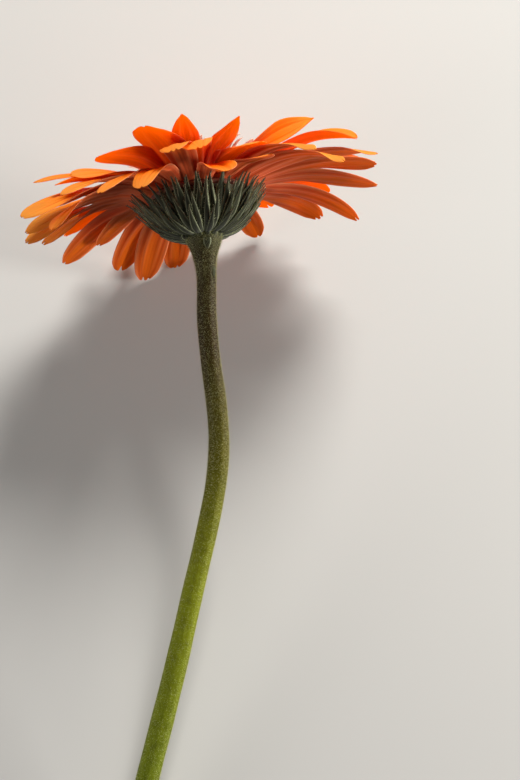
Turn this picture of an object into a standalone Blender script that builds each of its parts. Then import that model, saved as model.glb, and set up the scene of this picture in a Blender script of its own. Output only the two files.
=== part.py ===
# Gerbera daisy, cut and laid on its side on a flat surface.
# The stem runs along Y, the bloom faces +Y and rests on the tips of its lowest petals.
# Head coordinates: azimuth 0 points along +X, azimuth 90 straight down to the surface,
# azimuth -90 straight up; radius is measured from the head's axis and height along it,
# outwards from the plane in which the petals are rooted.

import math
import random
from collections import namedtuple

import bmesh
import bpy
from mathutils import Matrix, Vector

for old in list(bpy.data.objects):
    bpy.data.objects.remove(old, do_unlink=True)

MM = 0.001
SEED = 23
GAP = 0.3                     # between neighbouring pieces, mm

# where the head sits (mm) and how it leans (degrees)
HEAD_X = -0.5
HEAD_Y = 110.8
HEAD_Z = 50.0
HEAD_LEAN = 8.0
HEAD_NOD = 0.0

# stem: distance back from the neck and sideways sway, mm
STEM_SWAY = (
    (0, 0.0), (7, 0.3), (13, 0.7), (25, 0.8), (38, 2.0), (50, 3.7), (62, 4.5), (74, 3.6), (89, 0.7),
    (107, -3.6), (126, -8.0), (144, -12.5), (161, -16.9), (180, -21.5), (205, -27.0), (228, -31.5),
)
STEM_SIDES = 10
STEM_RINGS = 26
STEM_THINNING = 3             # rings stand this much closer at the neck
STEM_NECK_RINGS = 5
STEM_TOP_RADIUS = 2.9
STEM_LOW_RADIUS = 3.6
STEM_FLARE = 2.1
STEM_FLARE_LENGTH = 3.6
STEM_SAG = 1.5                # how soon the stem comes down to the surface
STEM_SWELL = 1.3              # how soon it reaches its lower radius

# tiny scales pressed to the stem below the cup: distance back, azimuth, length
STEM_SCALES = ((5.0, -95.0, 6.5), (4.5, 20.0, 5.0))
SCALE_HALF_WIDTH = 0.9
SCALE_PROUD = 3.6             # the scale's back, from the stem's middle
SCALE_TIP_PROUD = 4.6
SCALE_STEP = 0.5              # how much lower the scale's foot is
SCALE_EDGE = 0.6              # how far its edges slope in
SCALE_SUNK = 1.6

# cup of the involucre: a bowl from the neck to the rim
NECK_HEIGHT = -11.8
NECK_RADIUS = 5.0
CUP_RADIUS = 15.6
CUP_RIM_HEIGHT = -0.9
CUP_SIDES = 22
CUP_ANGLES = (0, 20, 40, 62, 90)

# rows of bracts, from the one against the petals down to the one at the neck:
# bowl angles of root and tip in degrees, flare and lift of the tip in mm
BractRow = namedtuple("BractRow", "count root tip flare lift")
BRACT_ROWS = (
    BractRow(21, 46, 92, 6.6, 2.6),
    BractRow(18, 30, 86, 4.6, 1.8),
    BractRow(12, 18, 72, 2.4, 0.8),
)
BRACT_WIDTH = 2.9
BRACT_RIDGE = 0.75            # how far the ridge stands above the bract's edges
BRACT_KEEL = 0.7              # how deep the bract is sunk
BRACT_PROUD = 0.15            # bract's edges above the bowl at the root
BRACT_TIP_PROUD = 0.5
BRACT_STEPS = 4
BRACT_WANDER = 3.0            # random shift and swing, degrees
BRACT_SHORTER = 5.0           # random change of the tip's angle, degrees
BRACT_FLARE_RANGE = (0.8, 1.15)

# cone that keeps bracts below it and petals above it
SEAT_RADIUS = 14.0
SEAT_HEIGHT = -0.5
SEAT_SLOPE = 0.34
SEAT_REACH = 24.0

# ring that carries the ray petals
RING_INNER = 11.2
RING_OUTER = 16.0
RING_TOP = 1.9
RING_BEVEL = 1.4

PETAL_STATIONS = (0.0, 0.22, 0.45, 0.67, 0.86, 1.0)
PETAL_COLUMNS = (-1.0, -0.5, 0.0, 0.5, 1.0)
PETAL_THICKNESS = 1.0
PETAL_GROOVE = 0.3
GROOVE_END = 1.15             # above 1, the grooves fade before the tip
PETAL_TOOTH = 1.1
PETAL_NOTCH = 1.25            # depth of the notches as a share of the tooth
PETAL_CLAW = 0.36             # width of the root as a share of the full width
PETAL_WIDEST = 0.62           # where the petal is widest, from root to tip
PETAL_TAPER = 0.72            # share of the width lost at the tip
CLAW_EASE = 1.2
TAPER_EASE = 2.6
SWING_EASE = 1.5
ROLL_EASE = 1.3
CUP_RANGE = (0.05, 0.22)      # random cupping of a petal's middle
ROOT_CHANNEL = 0.42           # how deeply the root is channelled
TIP_DROOP = 0.12              # how far the edges turn down at the tip
ROOT_HANDLE = 0.42            # reach of the root's direction along the middle line
TIP_HANDLE = 0.32
TIP_CURL = 0.17               # how much a steep tip tightens its bend
SEAT_CLEARANCE = 1.0          # middle of a petal above the cone
SPINE_SAMPLES = 60
SURFACE_EASE = 0.8            # how softly a petal bends onto the surface
SURFACE_TOUCH = 0.15

Petal = namedtuple("Petal", "azimuth reach rise width lift fall swing roll")

OUTER_ROOT = (13.4, 0.7)
OUTER_PETALS = (
    Petal(-98, 48, 0, 9.5, 22, -56, 0, 0),
    Petal(-111, 49, -8, 9.5, 22, -66, 4, 5),
    Petal(-126, 51, -8, 9.0, 22, -64, -2, 0),
    Petal(-138, 50, -6, 9.0, 22, -52, 0, 0),
    Petal(-152, 53, -13, 9.5, 22, -56, 3, 0),
    Petal(-162, 58, -4, 9.0, 20, -32, 0, 0),
    Petal(-173, 52, 1, 8.5, 20, -20, 2, 0),
    Petal(175, 54, -2, 8.5, 20, -26, -2, 0),
    Petal(165, 58, -4, 8.5, 20, -32, 0, 0),
    Petal(160, 55, -5, 8.5, 20, -36, 0, 0),
    Petal(149, 53, -6.5, 9.0, 22, -38, 0, 8),
    Petal(144, 54, -8, 9.5, 22, -40, -2, 0),
    Petal(123, 53, -8, 10.5, 22, -42, 0, 4),
    Petal(112, 54, -11, 10.5, 22, -44, 0, 0),
    Petal(101, 54, -8.5, 9.5, 22, -42, 0, 0),
    Petal(89, 54, -5, 9.0, 22, -38, 0, 0),
    Petal(69, 53, -2, 10.0, 22, -36, 0, -4),
    Petal(54, 50, 4, 9.0, 24, -26, 0, 0),
    Petal(39, 51, -4, 9.0, 22, -42, 0, -6),
    Petal(25, 55, -8, 8.5, 20, -44, 0, -4),
    Petal(13, 58, 0, 10.5, 20, -20, 0, 0),
    Petal(0, 56, 3, 9.5, 20, -16, 0, 0),
    Petal(-14, 57, 1, 9.5, 22, -28, 2, 0),
    Petal(-27, 51, -3, 9.5, 24, -50, 6, 0),
    Petal(-42, 49, -1, 9.5, 26, -50, 12, 0),
    Petal(-60, 43, 2, 9.0, 24, -16, 4, 0),
    Petal(-81, 46, -8, 10.0, 22, -62, 0, 0),
)

INNER_ROOT = (12.3, 1.5)
INNER_PETALS = (
    Petal(-87, 45, 2, 9.5, 30, -50, 0, 0),
    Petal(-93, 46, 13, 8.5, 36, 4, 0, 0),
    Petal(-108, 45, 11, 13.0, 36, 2, 0, -10),
    Petal(-129, 47, 6, 11.5, 34, -18, 0, 2),
    Petal(-149, 49, 4, 8.5, 32, -26, 0, 0),
    Petal(-164, 52, 8, 8.5, 30, -14, 0, 0),
    Petal(178, 49, 7, 8.5, 30, -12, 0, 0),
    Petal(166, 57, 0, 8.5, 30, -28, 0, 0),
    Petal(150, 50, 3, 8.5, 30, -22, 0, 0),
    Petal(132, 48, 5, 8.5, 30, -18, 0, 0),
    Petal(116, 48, 5, 9.0, 30, -18, 0, 0),
    Petal(96, 47, 6, 9.0, 30, -16, 0, 0),
    Petal(78, 49, 4, 9.0, 30, -20, 0, 0),
    Petal(61, 48, 6, 9.0, 30, -16, 0, 0),
    Petal(46, 49, 7, 8.5, 30, -14, 0, 0),
    Petal(33, 52, 5, 8.5, 30, -20, 0, 0),
    Petal(6, 52, 7, 8.5, 30, -16, 0, 0),
    Petal(-20, 54, 7, 9.5, 34, -20, 4, -24),
    Petal(-38, 47, 11, 10.5, 38, 0, 6, 80),
    Petal(-54, 40, 6, 8.5, 32, -26, 4, 0),
    Petal(-72, 46, 10, 6.5, 34, 8, -4, -70),
)

# crown of small pale florets between the petals and the disc
CROWN_INNER = 8.2
CROWN_OUTER = 10.7
CROWN_TOP = 2.2
CROWN_STEP = 0.6
CROWN_COUNT = 26
CROWN_ROOT = (9.2, 0.4)
CROWN_REACH = 21.5
CROWN_RISE = 12.5
CROWN_LIFT = 66
CROWN_WIDTH = 2.2
CROWN_THICKNESS = 0.7
CROWN_CUP = 0.35
CROWN_REACH_RANGE = (-3.0, 1.5)
CROWN_RISE_RANGE = (-1.5, 1.0)
CROWN_FALL_RANGE = (10, 40)
CROWN_SWING = 5.0
CROWN_WANDER = 3.0
CROWN_STATIONS = (0.0, 0.4, 0.75, 1.0)

# disc: a low dome with a bud for every seed
DISC_RADIUS = 7.6
DISC_EDGE = 0.6
DISC_RISE = 4.2
DISC_SIDES = 20
DISC_SHARES = (1.0, 0.8, 0.5, 0.2)
BUD_COUNT = 42
BUD_RADIUS = 0.72
BUD_FOOT = 0.8                # foot of a bud as a share of its radius
BUD_LENGTH = 3.0
BUD_SUNK = 0.9
BUD_SPLAY = 0.35              # how far the outermost buds lean out
BUD_SHOULDER = 0.65           # where a bud starts to narrow
BUD_SIDES = 4
GOLDEN_ANGLE = math.radians(137.508)

ORANGE = (0.90, 0.20, 0.02)
PALE_PINK = (0.86, 0.55, 0.42)
DISC_GREEN = (0.45, 0.42, 0.14)
BRACT_GREEN = (0.16, 0.21, 0.12)
STEM_GREEN = (0.28, 0.33, 0.07)

lean = math.radians(HEAD_LEAN)
nod = math.radians(HEAD_NOD)
AXIS = Vector((-math.sin(lean) * math.cos(nod), math.cos(lean) * math.cos(nod), -math.sin(nod)))
ACROSS = Vector((math.cos(lean), math.sin(lean), 0.0))
BELOW = AXIS.cross(ACROSS)
HEAD = Vector((HEAD_X, HEAD_Y, HEAD_Z))


def spoke(azimuth):
    """Unit vector away from the head's axis."""
    angle = math.radians(azimuth)
    return ACROSS * math.cos(angle) + BELOW * math.sin(angle)


def tangent(azimuth):
    """Unit vector along a circle round the head's axis."""
    angle = math.radians(azimuth)
    return BELOW * math.cos(angle) - ACROSS * math.sin(angle)


def head_point(azimuth, radius, height):
    """Point in mm from its head coordinates."""
    return HEAD + spoke(azimuth) * radius + AXIS * height


def seat(radius):
    """Height of the cone between bracts and petals."""
    return SEAT_HEIGHT + SEAT_SLOPE * (radius - SEAT_RADIUS)


def head_radius_height(point):
    """Radius and height of a point in mm."""
    offset = point - HEAD
    height = offset.dot(AXIS)
    return (offset - AXIS * height).length, height


def above_seat(point, clearance):
    """Lift a petal's point that would come too close to the bracts."""
    radius, height = head_radius_height(point)
    if radius > SEAT_REACH:
        return point
    low = seat(radius) + clearance
    return point + AXIS * max(0.0, low - height)


def below_seat(point, clearance):
    """Lower a bract's point that would come too close to the petals."""
    radius, height = head_radius_height(point)
    high = seat(radius) - clearance
    return point - AXIS * max(0.0, height - high)


def rest_on_surface(point):
    """Bend a petal's point softly onto the surface."""
    z = SURFACE_EASE * math.log1p(math.exp(point.z / SURFACE_EASE))
    return Vector((point.x, point.y, z if z > SURFACE_TOUCH else 0.0))


def above_surface(point):
    """Keep a point from sinking into the surface."""
    return Vector((point.x, point.y, max(point.z, 0.0)))


def new_object(name, bm, colour, roughness):
    """Mesh object in metres with its own material."""
    bmesh.ops.recalc_face_normals(bm, faces=bm.faces)
    mesh = bpy.data.meshes.new(name)
    bm.to_mesh(mesh)
    bm.free()
    mesh.transform(Matrix.Scale(MM, 4))
    material = bpy.data.materials.new(name)
    material.use_nodes = True
    shader = material.node_tree.nodes["Principled BSDF"]
    shader.inputs["Base Color"].default_value = (*colour, 1.0)
    shader.inputs["Roughness"].default_value = roughness
    shader.inputs["Metallic"].default_value = 0.0
    mesh.materials.append(material)
    obj = bpy.data.objects.new(name, mesh)
    bpy.context.scene.collection.objects.link(obj)
    return obj


def turned(profile, sides, hollow):
    """Profile of (radius, height) turned round the head's axis; hollow keeps it a ring."""
    bm = bmesh.new()
    rings = []
    for radius, height in profile:
        ring = []
        for side in range(sides):
            ring.append(bm.verts.new(head_point(360.0 * side / sides, radius, height)))
        rings.append(ring)
    last = len(rings) if hollow else len(rings) - 1
    for index in range(last):
        near = rings[index]
        far = rings[(index + 1) % len(rings)]
        for side in range(sides):
            following = (side + 1) % sides
            bm.faces.new((near[side], near[following], far[following], far[side]))
    if not hollow:
        bm.faces.new(rings[0])
        bm.faces.new(rings[-1])
    return bm


def blade(grid, thickness):
    """Closed blade round a grid of middle points; its rim is shared by both faces."""
    bm = bmesh.new()
    rows = len(grid)
    columns = len(grid[0])
    normals = grid_normals(grid)
    upper = []
    lower = []
    for i, line in enumerate(grid):
        upper_line = []
        lower_line = []
        for j, point in enumerate(line):
            rim = i in (0, rows - 1) or j in (0, columns - 1)
            if rim:
                vertex = bm.verts.new(point)
                upper_line.append(vertex)
                lower_line.append(vertex)
            else:
                lift = normals[i][j] * (thickness / 2)
                upper_line.append(bm.verts.new(above_surface(point + lift)))
                lower_line.append(bm.verts.new(above_surface(point - lift)))
        upper.append(upper_line)
        lower.append(lower_line)
    for i in range(rows - 1):
        for j in range(columns - 1):
            rising = (i < (rows - 1) / 2) == (j < (columns - 1) / 2)
            for side in (upper, lower):
                a, b = side[i][j], side[i][j + 1]
                c, d = side[i + 1][j + 1], side[i + 1][j]
                if rising:
                    bm.faces.new((a, b, c))
                    bm.faces.new((a, c, d))
                else:
                    bm.faces.new((a, b, d))
                    bm.faces.new((b, c, d))
    return bm


def grid_normals(grid):
    """Unit normals of a grid of points."""
    rows = len(grid)
    columns = len(grid[0])
    normals = []
    for i in range(rows):
        line = []
        for j in range(columns):
            along = grid[min(i + 1, rows - 1)][j] - grid[max(i - 1, 0)][j]
            across = grid[i][min(j + 1, columns - 1)] - grid[i][max(j - 1, 0)]
            line.append(across.cross(along).normalized())
        normals.append(line)
    return normals


def petal_spine(petal, root, stations):
    """Place and direction in the petal's upright plane at each station from root to tip."""
    start = Vector(root)
    end = Vector((petal.reach, petal.rise))
    span = (end - start).length
    lift = math.radians(petal.lift)
    fall = math.radians(petal.fall)
    second = start + Vector((math.cos(lift), math.sin(lift))) * span * ROOT_HANDLE
    bend = TIP_HANDLE - TIP_CURL * abs(fall) / (math.pi / 2)
    third = end - Vector((math.cos(fall), math.sin(fall))) * span * bend
    fine = []
    for step in range(SPINE_SAMPLES + 1):
        t = step / SPINE_SAMPLES
        u = 1 - t
        fine.append(start * u ** 3 + second * (3 * t * u * u) + third * (3 * t * t * u) + end * t ** 3)
    lengths = [0.0]
    for before, after in zip(fine, fine[1:]):
        lengths.append(lengths[-1] + (after - before).length)
    spine = []
    k = 0
    for station in stations:
        goal = lengths[-1] * station
        while k < SPINE_SAMPLES - 1 and lengths[k + 1] < goal:
            k += 1
        part = (goal - lengths[k]) / (lengths[k + 1] - lengths[k])
        place = fine[k].lerp(fine[k + 1], part)
        direction = (fine[k + 1] - fine[k]).normalized()
        spine.append((place, direction))
    return spine


def petal_width(s):
    """Share of the full width at s from root to tip."""
    grow = math.sin(min(s / PETAL_WIDEST, 1.0) * math.pi / 2) ** CLAW_EASE
    width = PETAL_CLAW + (1 - PETAL_CLAW) * grow
    if s > PETAL_WIDEST:
        width *= 1.0 - PETAL_TAPER * ((s - PETAL_WIDEST) / (1 - PETAL_WIDEST)) ** TAPER_EASE
    return width


def petal_tooth(v):
    """How far the tip is cut back at v across the petal: a middle tooth between two notches."""
    return PETAL_TOOTH * (PETAL_NOTCH if abs(v) == 0.5 else abs(v))


def ray_petal(petal, root, rng):
    """One strap-shaped petal with two grooves and a toothed tip."""
    spine = petal_spine(petal, root, PETAL_STATIONS)
    cup = rng.uniform(*CUP_RANGE)
    grid = []
    for s, (place, direction) in zip(PETAL_STATIONS, spine):
        azimuth = petal.azimuth - petal.swing * (1 - s) ** SWING_EASE
        outward = spoke(azimuth)
        forward = outward * direction.x + AXIS * direction.y
        up = AXIS * direction.x - outward * direction.y
        roll = math.radians(petal.roll) * s ** ROLL_EASE
        side = tangent(azimuth) * math.cos(roll) + up * math.sin(roll)
        up = up * math.cos(roll) - tangent(azimuth) * math.sin(roll)
        half = petal.width / 2 * petal_width(s)
        cupping = ROOT_CHANNEL * (1 - s) ** 2 + cup * (1 - s) - TIP_DROOP * s
        line = []
        for v in PETAL_COLUMNS:
            groove = PETAL_GROOVE * math.sin(math.pi * abs(v)) * math.sin(math.pi * min(s * GROOVE_END, 1.0))
            tooth = petal_tooth(v) if s == 1.0 else 0.0
            point = HEAD + outward * place.x + AXIS * place.y
            point = point + side * (half * v) + up * (half * cupping * v * v - groove) - forward * tooth
            point = above_seat(point, SEAT_CLEARANCE)
            line.append(rest_on_surface(point))
        grid.append(line)
    return blade(grid, PETAL_THICKNESS)


def bowl(angle, out):
    """Radius and height on the bowl of the cup, out mm proud of it."""
    turn = math.radians(angle)
    depth = CUP_RIM_HEIGHT - NECK_HEIGHT
    radius = NECK_RADIUS + (CUP_RADIUS - NECK_RADIUS) * math.sin(turn) + out * math.sin(turn)
    height = NECK_HEIGHT + depth * (1 - math.cos(turn)) - out * math.cos(turn)
    return radius, height


def bract_width(t):
    """Width of a bract at t from root to tip."""
    return BRACT_WIDTH * (0.62 + 0.75 * t - 1.15 * t ** 3)


def bract(row, azimuth, rng):
    """Narrow pointed bract with a ridge on its back, lying on the bowl."""
    bm = bmesh.new()
    azimuth += rng.uniform(-BRACT_WANDER, BRACT_WANDER)
    swing = rng.uniform(-BRACT_WANDER, BRACT_WANDER)
    tip = row.tip + rng.uniform(-BRACT_SHORTER, BRACT_SHORTER)
    flare = row.flare * rng.uniform(*BRACT_FLARE_RANGE)
    rings = []
    for step in range(BRACT_STEPS + 1):
        t = step / BRACT_STEPS
        angle = row.root + (tip - row.root) * t
        radius, height = bowl(angle, BRACT_PROUD + (BRACT_TIP_PROUD - BRACT_PROUD) * t)
        centre = head_point(azimuth + swing * t, radius + flare * t ** 3, height + row.lift * t ** 3)
        if step == BRACT_STEPS:
            end = bm.verts.new(below_seat(centre, GAP))
            break
        turn = math.radians(angle)
        side = tangent(azimuth + swing * t) * (bract_width(t) / 2)
        back = spoke(azimuth + swing * t) * math.sin(turn) - AXIS * math.cos(turn)
        corners = (centre - side, centre + back * BRACT_RIDGE, centre + side, centre - back * BRACT_KEEL)
        rings.append([bm.verts.new(below_seat(corner, GAP)) for corner in corners])
    for step in range(BRACT_STEPS - 1):
        for k in range(4):
            m = (k + 1) % 4
            bm.faces.new((rings[step][k], rings[step][m], rings[step + 1][m], rings[step + 1][k]))
    for k in range(4):
        bm.faces.new((rings[-1][k], rings[-1][(k + 1) % 4], end))
    bm.faces.new(rings[0])
    bmesh.ops.triangulate(bm, faces=bm.faces)
    return bm


def crown_floret(azimuth, rng):
    """Small pale strap of the crown, leaning outwards."""
    reach = CROWN_REACH + rng.uniform(*CROWN_REACH_RANGE)
    rise = CROWN_RISE + rng.uniform(*CROWN_RISE_RANGE)
    fall = rng.uniform(*CROWN_FALL_RANGE)
    swing = rng.uniform(-CROWN_SWING, CROWN_SWING)
    strap = Petal(azimuth, reach, rise, CROWN_WIDTH, CROWN_LIFT, fall, swing, 0)
    spine = petal_spine(strap, CROWN_ROOT, CROWN_STATIONS)
    grid = []
    for s, (place, direction) in zip(CROWN_STATIONS, spine):
        outward = spoke(azimuth + strap.swing * s)
        up = AXIS * direction.x - outward * direction.y
        half = CROWN_WIDTH / 2 * (0.7 + 0.9 * s - 1.25 * s ** 3)
        centre = HEAD + outward * place.x + AXIS * place.y
        line = []
        for v in (-1.0, 0.0, 1.0):
            line.append(centre + tangent(azimuth + strap.swing * s) * (half * v) + up * (CROWN_CUP * v * v))
        grid.append(line)
    return blade(grid, CROWN_THICKNESS)


def dome_height(radius):
    """Height of the disc's dome."""
    return DISC_EDGE + DISC_RISE * math.sqrt(1 - (radius / (DISC_RADIUS + DISC_EDGE)) ** 2)


def disc_bud(index):
    """Small pointed bud standing on the dome."""
    radius = (DISC_RADIUS - BUD_RADIUS) * math.sqrt((index + 0.5) / BUD_COUNT)
    azimuth = math.degrees(index * GOLDEN_ANGLE)
    foot = head_point(azimuth, radius, dome_height(radius) - BUD_SUNK)
    direction = (AXIS + spoke(azimuth) * (BUD_SPLAY * radius / DISC_RADIUS)).normalized()
    side = direction.cross(tangent(azimuth)).normalized()
    other = direction.cross(side)
    bm = bmesh.new()
    rings = []
    for along, share in ((0.0, BUD_FOOT), (BUD_LENGTH * BUD_SHOULDER, 1.0)):
        ring = []
        for k in range(BUD_SIDES):
            turn = 2 * math.pi * k / BUD_SIDES
            out = side * math.cos(turn) + other * math.sin(turn)
            ring.append(bm.verts.new(foot + direction * along + out * BUD_RADIUS * share))
        rings.append(ring)
    tip = bm.verts.new(foot + direction * BUD_LENGTH)
    for k in range(BUD_SIDES):
        m = (k + 1) % BUD_SIDES
        bm.faces.new((rings[0][k], rings[0][m], rings[1][m], rings[1][k]))
        bm.faces.new((rings[1][k], rings[1][m], tip))
    bm.faces.new(rings[0])
    return bm


def fused(name, core, pieces, colour, roughness):
    """Union of a core and the pieces rooted in it, in one closed solid."""
    body = new_object(name, core, colour, roughness)
    blanks = bpy.data.collections.new(name + "_pieces")
    for index, piece in enumerate(pieces):
        blank = new_object(f"{name}_{index}", piece, colour, roughness)
        bpy.context.scene.collection.objects.unlink(blank)
        blanks.objects.link(blank)
    join = body.modifiers.new("join", "BOOLEAN")
    join.operation = "UNION"
    join.operand_type = "COLLECTION"
    join.collection = blanks
    join.solver = "EXACT"
    depsgraph = bpy.context.evaluated_depsgraph_get()
    result = bpy.data.meshes.new_from_object(body.evaluated_get(depsgraph))
    body.modifiers.clear()
    body.data = result
    for blank in list(blanks.objects):
        bpy.data.objects.remove(blank, do_unlink=True)
    bpy.data.collections.remove(blanks)
    keep_outer_shell(body)
    return body


def keep_outer_shell(obj):
    """Drop loose scraps and the walls of sealed hollows, and merge doubled points."""
    bm = bmesh.new()
    bm.from_mesh(obj.data)
    bmesh.ops.remove_doubles(bm, verts=bm.verts, dist=0.002 * MM)
    bmesh.ops.dissolve_degenerate(bm, edges=bm.edges, dist=0.001 * MM)
    bmesh.ops.triangulate(bm, faces=bm.faces)
    unseen = set(bm.faces)
    shells = []
    while unseen:
        stack = [unseen.pop()]
        shell = set(stack)
        while stack:
            for edge in stack.pop().edges:
                for face in edge.link_faces:
                    if face in unseen:
                        unseen.discard(face)
                        shell.add(face)
                        stack.append(face)
        shells.append(shell)
    largest = max(shells, key=len)
    scraps = [face for face in bm.faces if face not in largest]
    bmesh.ops.delete(bm, geom=scraps, context="FACES")
    bm.to_mesh(obj.data)
    bm.free()


def smooth_route(points, count):
    """Even samples of a smooth curve through the points."""
    samples = []
    pieces = len(points) - 1
    for step in range(count + 1):
        place = step / count * pieces
        k = min(int(place), pieces - 1)
        t = place - k
        p1, p2 = points[k], points[k + 1]
        p0 = points[k - 1] if k > 0 else p1 * 2 - p2
        p3 = points[k + 2] if k + 2 <= pieces else p2 * 2 - p1
        curve = p1 * 2 + (p2 - p0) * t + (p0 * 2 - p1 * 5 + p2 * 4 - p3) * t * t
        curve = (curve + (p1 * 3 - p0 - p2 * 3 + p3) * t ** 3) * 0.5
        samples.append(curve)
    return samples


def stem_route():
    """Stem's middle line from the neck to the cut end."""
    neck = head_point(0, 0, NECK_HEIGHT - GAP)
    length = STEM_SWAY[-1][0]
    points = []
    for back, sway in STEM_SWAY:
        drop = (1 - back / length) ** STEM_SAG
        z = STEM_LOW_RADIUS + (neck.z - STEM_LOW_RADIUS) * drop
        points.append(Vector((neck.x + sway, neck.y - back, z)))
    return smooth_route(points, STEM_RINGS * STEM_THINNING)


def stem_radius(share, back):
    """Radius of the stem, flared under the cup."""
    flare = STEM_FLARE * math.exp(-((back / STEM_FLARE_LENGTH) ** 1.5))
    swelling = (STEM_LOW_RADIUS - STEM_TOP_RADIUS) * min(1.0, share * STEM_SWELL)
    return STEM_TOP_RADIUS + swelling + flare


def stem_body():
    """Swept stem with a flat face under the cup and a cut end."""
    route = stem_route()
    route = route[:STEM_NECK_RINGS] + route[STEM_NECK_RINGS + 1::STEM_THINNING]
    bm = bmesh.new()
    rings = []
    back = 0.0
    for index, point in enumerate(route):
        if index > 0:
            back += (point - route[index - 1]).length
        before = route[max(index - 1, 0)]
        after = route[min(index + 1, len(route) - 1)]
        direction = (after - before).normalized()
        bend = math.exp(-back / STEM_FLARE_LENGTH)
        direction = (direction * (1 - bend) - AXIS * bend).normalized()
        side = direction.cross(Vector((0, 0, 1))).normalized()
        up = side.cross(direction)
        radius = stem_radius(index / (len(route) - 1), back)
        ring = []
        for k in range(STEM_SIDES):
            turn = 2 * math.pi * (k + 0.5) / STEM_SIDES
            place = point + (side * math.cos(turn) + up * math.sin(turn)) * radius
            place.z = max(place.z, 0.0)
            ring.append(bm.verts.new(place))
        rings.append(ring)
    for near, far in zip(rings, rings[1:]):
        for k in range(STEM_SIDES):
            m = (k + 1) % STEM_SIDES
            bm.faces.new((near[k], near[m], far[m], far[k]))
    bm.faces.new(rings[0])
    bm.faces.new(rings[-1])
    bmesh.ops.triangulate(bm, faces=bm.faces)
    return bm


def stem_scale(back, azimuth, length):
    """Tiny pointed scale pressed to the stem below the cup."""
    neck = head_point(0, 0, NECK_HEIGHT - GAP)
    bm = bmesh.new()
    base = neck - AXIS * (back + length * 0.5)
    out = spoke(azimuth)
    side = tangent(azimuth)
    rings = []
    for along, proud in ((0.0, SCALE_PROUD - SCALE_STEP), (length * 0.5, SCALE_PROUD)):
        ridge = base + AXIS * along + out * proud
        edge = side * SCALE_HALF_WIDTH
        slope = out * SCALE_EDGE
        corners = (ridge - edge - slope, ridge, ridge + edge - slope, ridge - out * SCALE_SUNK)
        rings.append([bm.verts.new(corner) for corner in corners])
    tip = bm.verts.new(base + AXIS * length + out * SCALE_TIP_PROUD)
    for k in range(4):
        m = (k + 1) % 4
        bm.faces.new((rings[0][k], rings[0][m], rings[1][m], rings[1][k]))
        bm.faces.new((rings[1][k], rings[1][m], tip))
    bm.faces.new(rings[0])
    return bm


def build_stem():
    """Cut stem with two tiny scales under the cup."""
    scales = [stem_scale(*scale) for scale in STEM_SCALES]
    return fused("stem", stem_body(), scales, STEM_GREEN, 0.6)


def build_involucre():
    """Cup with its rows of pointed bracts."""
    rng = random.Random(SEED)
    profile = [bowl(angle, 0.0) for angle in CUP_ANGLES]
    core = turned(profile, CUP_SIDES, False)
    bracts = []
    for shift, row in enumerate(BRACT_ROWS):
        for index in range(row.count):
            bracts.append(bract(row, 360.0 * (index + 0.5 * shift) / row.count, rng))
    return fused("involucre", core, bracts, BRACT_GREEN, 0.75)


def build_petals():
    """Ring with the outer and the inner ray petals."""
    rng = random.Random(SEED + 1)
    low = CUP_RIM_HEIGHT + GAP
    profile = (
        (RING_INNER, low), (RING_OUTER - RING_BEVEL, low), (RING_OUTER, RING_TOP / 3),
        (RING_OUTER - RING_BEVEL, RING_TOP), (RING_INNER, RING_TOP),
    )
    core = turned(profile, CUP_SIDES, True)
    petals = [ray_petal(petal, OUTER_ROOT, rng) for petal in OUTER_PETALS]
    petals += [ray_petal(petal, INNER_ROOT, rng) for petal in INNER_PETALS]
    return fused("ray_petals", core, petals, ORANGE, 0.5)


def build_crown():
    """Ring with the small pale florets round the disc."""
    rng = random.Random(SEED + 2)
    low = CUP_RIM_HEIGHT + GAP
    shoulder = CROWN_TOP - CROWN_STEP
    profile = ((CROWN_INNER, low), (CROWN_OUTER, low), (CROWN_OUTER, shoulder), (CROWN_INNER, CROWN_TOP))
    core = turned(profile, CUP_SIDES, True)
    florets = []
    for index in range(CROWN_COUNT):
        azimuth = 360.0 * index / CROWN_COUNT + rng.uniform(-CROWN_WANDER, CROWN_WANDER)
        florets.append(crown_floret(azimuth, rng))
    return fused("crown_florets", core, florets, PALE_PINK, 0.6)


def build_disc():
    """Dome packed with disc buds."""
    low = CUP_RIM_HEIGHT + GAP
    profile = [(DISC_RADIUS, low)]
    for share in DISC_SHARES:
        profile.append((DISC_RADIUS * share, dome_height(DISC_RADIUS * share)))
    core = turned(profile, DISC_SIDES, False)
    buds = [disc_bud(index) for index in range(BUD_COUNT)]
    return fused("disc_florets", core, buds, DISC_GREEN, 0.6)


build_stem()
build_involucre()
build_petals()
build_crown()
build_disc()
bpy.context.view_layer.update()
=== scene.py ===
import math
import random

import bpy
import numpy as np
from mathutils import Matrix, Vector


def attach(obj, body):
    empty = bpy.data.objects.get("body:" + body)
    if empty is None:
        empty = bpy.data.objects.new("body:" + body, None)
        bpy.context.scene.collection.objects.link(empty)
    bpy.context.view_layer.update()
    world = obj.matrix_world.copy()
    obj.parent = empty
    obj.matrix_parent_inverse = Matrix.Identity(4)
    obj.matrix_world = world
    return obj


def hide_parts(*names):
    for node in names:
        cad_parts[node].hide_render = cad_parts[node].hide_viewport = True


# Gerbera daisy lying on its side. The stem runs along -Y and the bloom faces +Y.
# Lengths are millimetres and angles degrees unless a name says otherwise.
# Azimuth runs round the head: 0 is +X, 90 straight down, -90 straight up at the camera.

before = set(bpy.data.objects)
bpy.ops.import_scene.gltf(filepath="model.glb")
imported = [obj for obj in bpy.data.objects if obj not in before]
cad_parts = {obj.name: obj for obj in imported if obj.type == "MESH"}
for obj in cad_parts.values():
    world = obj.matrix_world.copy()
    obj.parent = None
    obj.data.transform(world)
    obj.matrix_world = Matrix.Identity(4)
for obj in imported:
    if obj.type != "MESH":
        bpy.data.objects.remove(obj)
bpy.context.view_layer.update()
print("frame loaded:", ", ".join(sorted(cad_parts)))

mm = 0.001

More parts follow.
